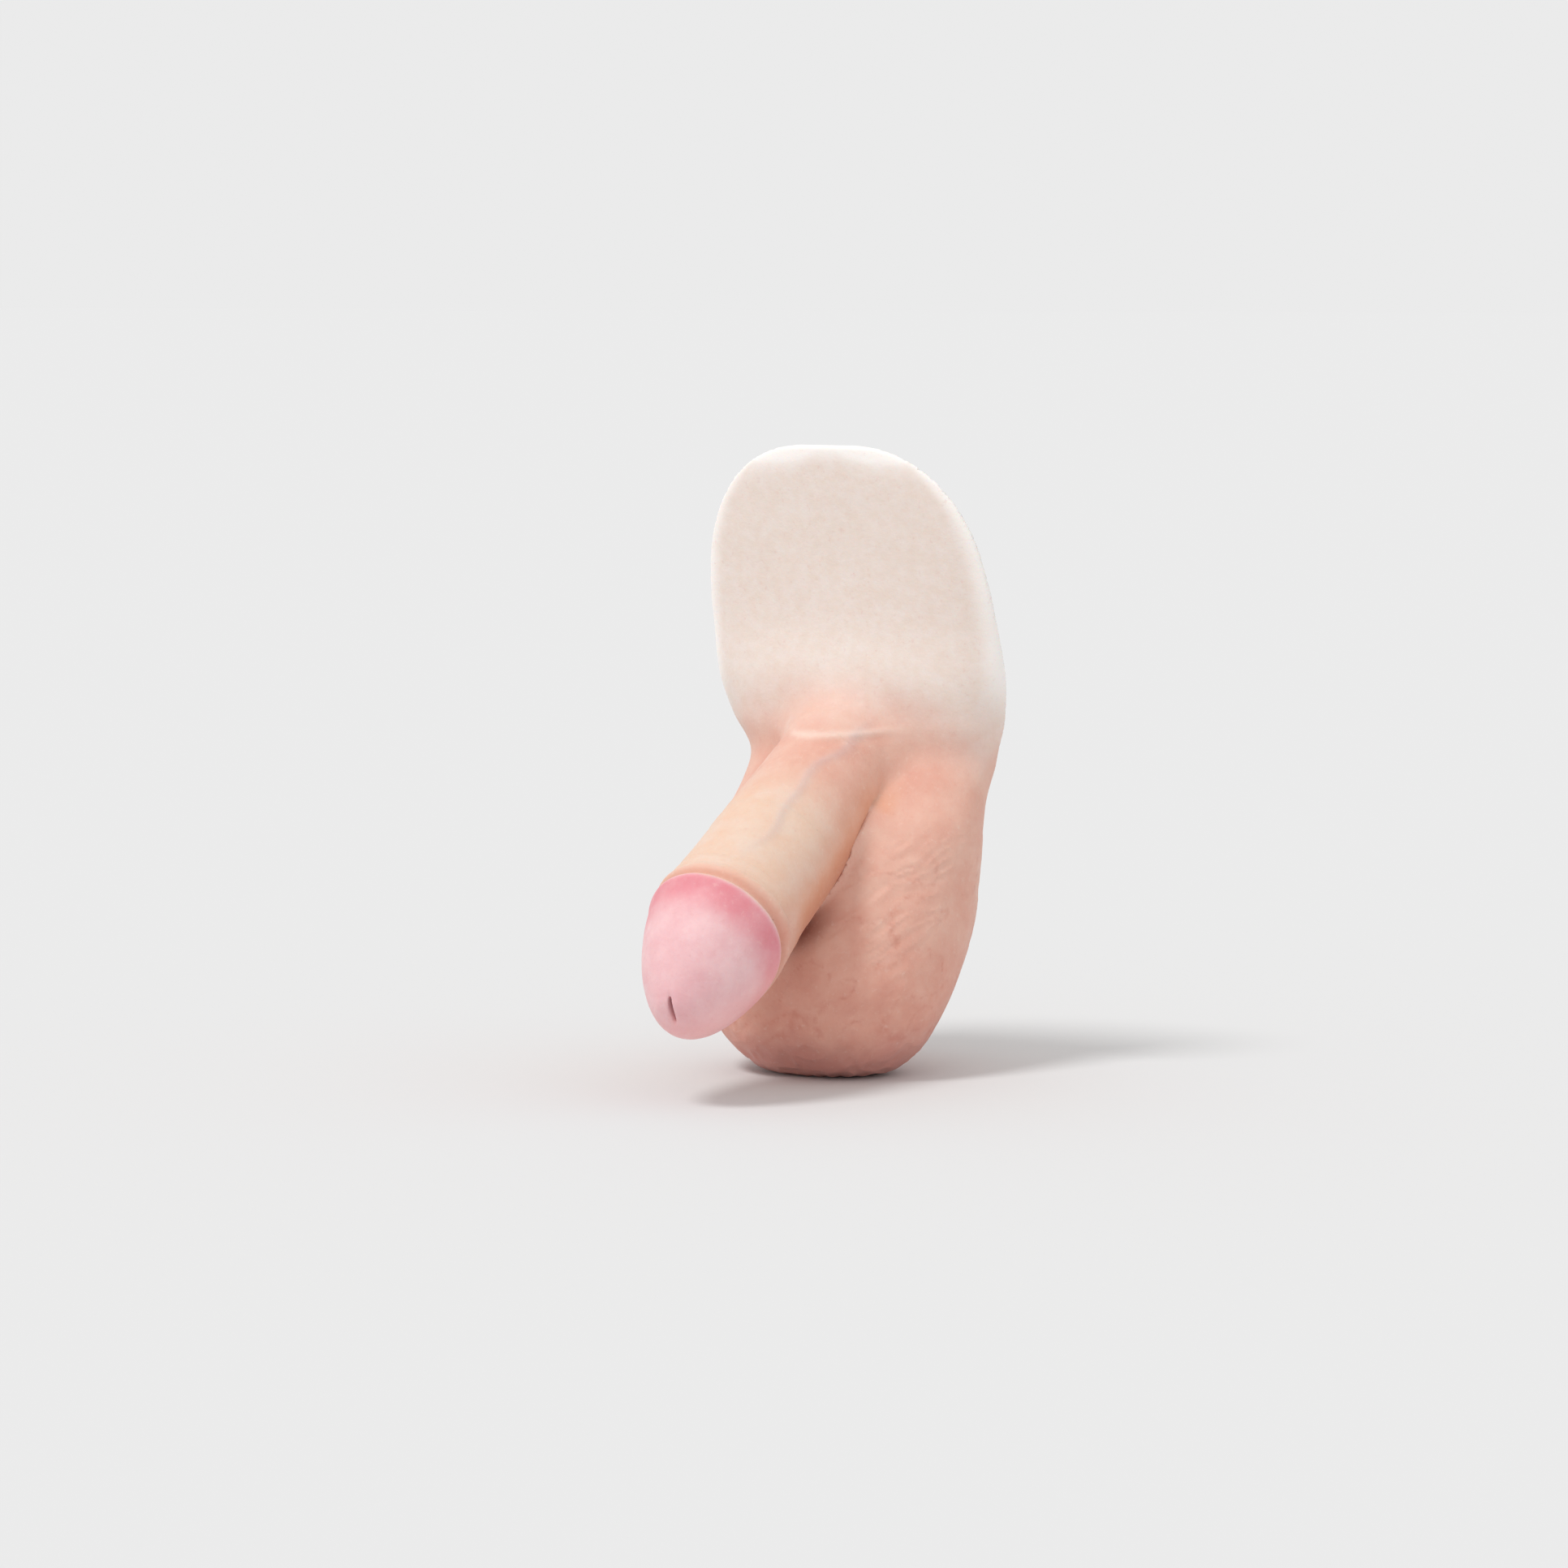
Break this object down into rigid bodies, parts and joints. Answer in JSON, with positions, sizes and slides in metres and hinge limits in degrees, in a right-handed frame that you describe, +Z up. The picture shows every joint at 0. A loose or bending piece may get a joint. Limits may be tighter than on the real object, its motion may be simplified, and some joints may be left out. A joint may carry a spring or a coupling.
{
  "type": "external genital prosthesis",
  "caption": "Realistic silicone external genital prosthesis, worn against the pubic area: pubic tab, shaft with glans, and weighted scrotum, standing on its scrotum",
  "frame": {"origin": "on the flat foot under the scrotum, in the plane that divides left from right", "axes": "+Z up as it stands on its scrotum; -Y the way the shaft points; +X the wearer's left"},
  "size_m": [0.0874, 0.1208, 0.1675],
  "materials": {
    "skin": "satin skin-toned silicone, translucent",
    "skin_pale": "satin pale silicone, thin and translucent at its edge",
    "skin_rose": "satin rose-tinted silicone",
    "soft_gel": "clear soft gel",
    "soft_foam_silicone": "matte soft silicone",
    "firm_core": "matte firm silicone",
    "insert": "smooth firm silicone",
    "backing_mesh": "fine woven mesh"
  },
  "bodies": {
    "base": {"base_skin": "skin", "scrotum_gel": "soft_gel", "mound_pad": "soft_foam_silicone", "shaft_root_core": "firm_core", "back_mesh_lower": "backing_mesh"},
    "tab_top": {"tab_top_skin": "skin_pale", "back_mesh_upper": "backing_mesh"},
    "shaft_near": {"shaft_near_skin": "skin", "shaft_near_core": "firm_core"},
    "shaft_far": {"shaft_far_skin": "skin", "shaft_far_core": "firm_core", "glans": "skin_rose"},
    "insert_left": {"insert_left": "insert"},
    "insert_right": {"insert_right": "insert"}
  },
  "joints": [
    {"name": "shaft_lift", "type": "hinge", "parent": "base", "child": "shaft_near", "pos_m": [0, -0.01871, 0.06894], "axis": [-1, 0, 0], "range_deg": [0, 40], "stiffness_Nm_per_rad": 0.4},
    {"name": "shaft_swing", "type": "hinge", "parent": "shaft_near", "child": "shaft_far", "pos_m": [0, -0.04357, 0.05401], "axis": [0, -0.515, 0.8572], "range_deg": [-20, 20], "stiffness_Nm_per_rad": 0.3},
    {"name": "tab_fold", "type": "hinge", "parent": "base", "child": "tab_top", "pos_m": [0, 0.0093, 0.112], "axis": [1, 0, 0], "range_deg": [-25, 25], "stiffness_Nm_per_rad": 0.1},
    {"name": "insert_left_shift", "type": "slide", "parent": "base", "child": "insert_left", "axis": [0, 0, 1], "range_m": [-0.002, 0.002], "stiffness_N_per_m": 2000},
    {"name": "insert_right_shift", "type": "slide", "parent": "base", "child": "insert_right", "axis": [0, 0, 1], "range_m": [-0.002, 0.002], "stiffness_N_per_m": 2000}
  ]
}
